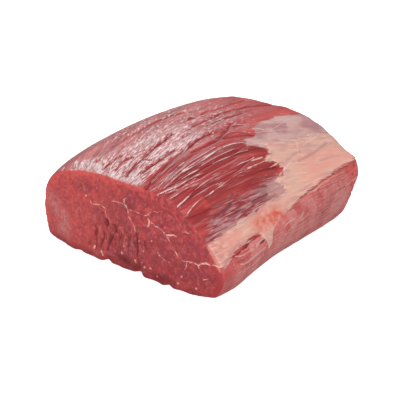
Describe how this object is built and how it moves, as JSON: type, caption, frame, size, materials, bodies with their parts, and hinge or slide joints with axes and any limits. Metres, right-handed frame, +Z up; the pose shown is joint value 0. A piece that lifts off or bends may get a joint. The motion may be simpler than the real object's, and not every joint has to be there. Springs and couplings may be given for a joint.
{
  "type": "raw beef tenderloin steak",
  "caption": "Thick block of raw beef tenderloin with two ends cut across the grain, a domed top with a thin fat sheet over one shoulder, and a flat underside to lie on.",
  "frame": {"origin": "middle of the block's footprint, on the surface that it lies on", "axes": "+X across the grain towards the trimmed side with the fat, +Y along the grain from the shown cut end to the far one, +Z up through the domed skin side"},
  "size_m": [0.162, 0.167, 0.0724],
  "materials": {
    "raw_beef": "moist raw muscle, glossy where the skin side is wet, with pale fat over the right shoulder"
  },
  "bodies": {
    "root": {"tenderloin_block": "raw_beef"}
  },
  "joints": []
}
